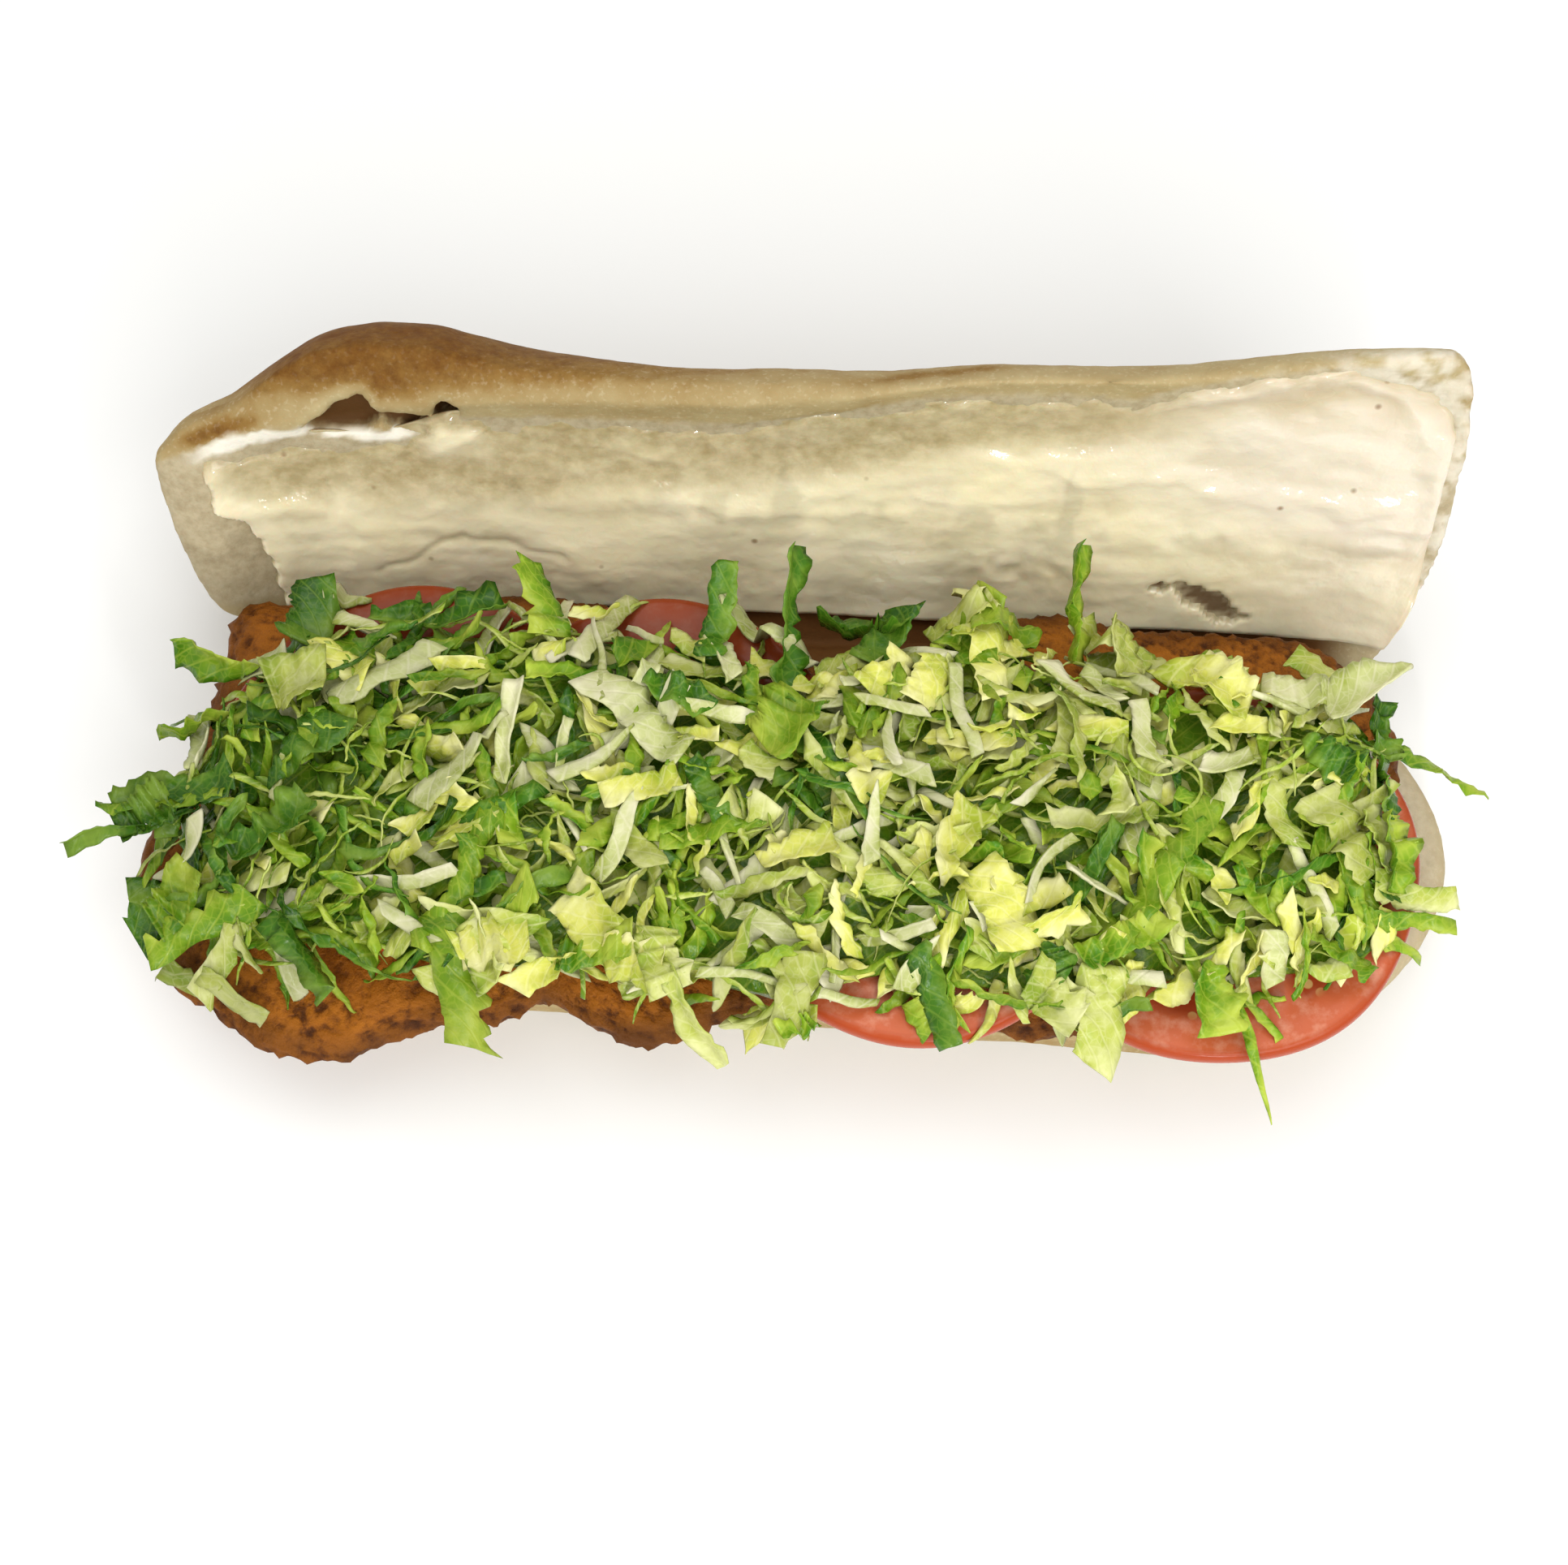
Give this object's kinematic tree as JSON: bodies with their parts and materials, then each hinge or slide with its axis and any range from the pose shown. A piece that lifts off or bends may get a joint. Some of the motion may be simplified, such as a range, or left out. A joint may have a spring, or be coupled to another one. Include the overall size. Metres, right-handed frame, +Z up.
{
  "type": "submarine sandwich",
  "caption": "Long soft roll lying open on its hinge, lid coated with mayonnaise, filled with breaded cutlets, tomato slices and a heap of shredded lettuce.",
  "frame": {"origin": "middle of the flat underside of the roll's lower half", "axes": "+X along the roll, to the right as seen from the open front; +Y towards the hinge and the lid; +Z up"},
  "size_m": [0.276, 0.1475, 0.0894],
  "materials": {
    "bread": "matte",
    "mayonnaise": "glossy",
    "fried_crumb": "rough, a little oily",
    "tomato": "moist",
    "lettuce": "satin"
  },
  "bodies": {
    "root": {"roll": "bread", "mayonnaise": "mayonnaise", "cutlet_left": "fried_crumb", "cutlet_right": "fried_crumb", "tomato_1": "tomato", "tomato_2": "tomato", "tomato_3": "tomato", "tomato_4": "tomato", "lettuce": "lettuce"}
  },
  "joints": []
}
